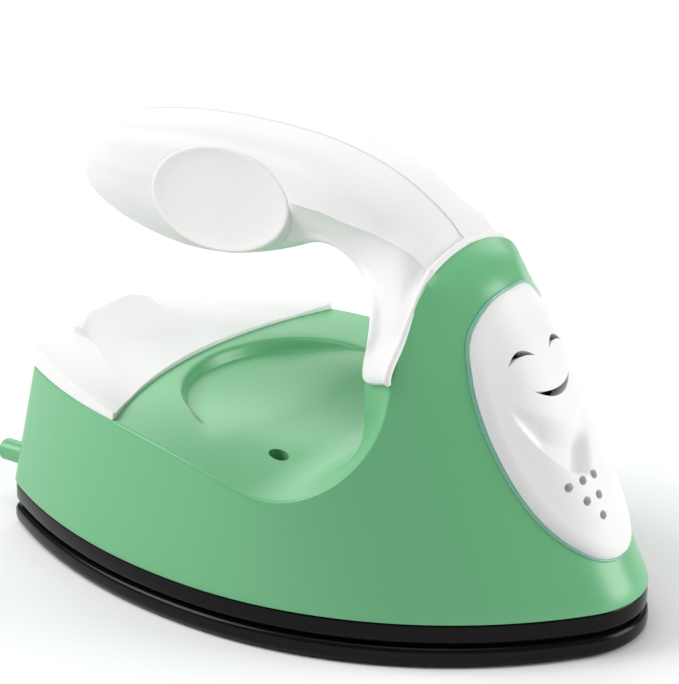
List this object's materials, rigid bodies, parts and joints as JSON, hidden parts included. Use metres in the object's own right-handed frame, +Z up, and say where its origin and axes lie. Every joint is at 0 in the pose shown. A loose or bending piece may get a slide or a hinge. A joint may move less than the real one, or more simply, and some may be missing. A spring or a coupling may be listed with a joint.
{
  "type": "mini craft iron",
  "caption": "Small pointed craft iron with a flat black sole, a draughted gloss housing, an arched white handle open at the heel and an oval vented panel on the nose.",
  "frame": {"origin": "middle of the flat working face of the sole, half way between heel edge and nose", "axes": "+X towards the nose of the sole, +Y towards the iron's left side, +Z up from the sole"},
  "size_m": [0.1106, 0.0702, 0.0702],
  "materials": {
    "green_gloss": "glossy moulded",
    "white_satin": "satin moulded",
    "pad_soft": "soft touch",
    "black_gloss": "glossy moulded",
    "sole_coating": "smooth non-stick coating",
    "gasket_rubber": "matt",
    "trim_clear": "translucent",
    "baffle_black": "matt",
    "bush_rubber": "matt",
    "screw_steel": "zinc plated",
    "strap_steel": "rolled",
    "heater_ceramic": "fired",
    "mica": "split sheet",
    "shield_aluminium": "rolled",
    "thermostat_body": "fired",
    "cutoff_metal": "drawn",
    "terminal_ceramic": "glazed"
  },
  "bodies": {
    "root": {"soleplate": "sole_coating", "sole_gasket": "gasket_rubber", "base_skirt": "black_gloss", "body_shell": "green_gloss", "rear_cover": "white_satin", "cord_inlet_bush": "bush_rubber", "handle_left": "white_satin", "handle_right": "white_satin", "handle_screws": "screw_steel", "handle_collar": "white_satin", "grip_pad_left": "pad_soft", "grip_pad_right": "pad_soft", "front_panel": "white_satin", "panel_trim_ring": "trim_clear", "vent_baffle": "baffle_black", "heel_foot_left": "green_gloss", "heel_foot_right": "green_gloss", "sole_screws": "screw_steel", "shell_screws": "screw_steel", "heating_element": "heater_ceramic", "mica_sheet": "mica", "heater_clamp": "strap_steel", "clamp_screws": "screw_steel", "heat_shield": "shield_aluminium", "shield_spacers": "heater_ceramic", "shield_screws": "screw_steel", "thermostat": "thermostat_body", "thermal_cutoff": "cutoff_metal", "cutoff_clip": "strap_steel", "terminal_block": "terminal_ceramic"}
  },
  "joints": []
}
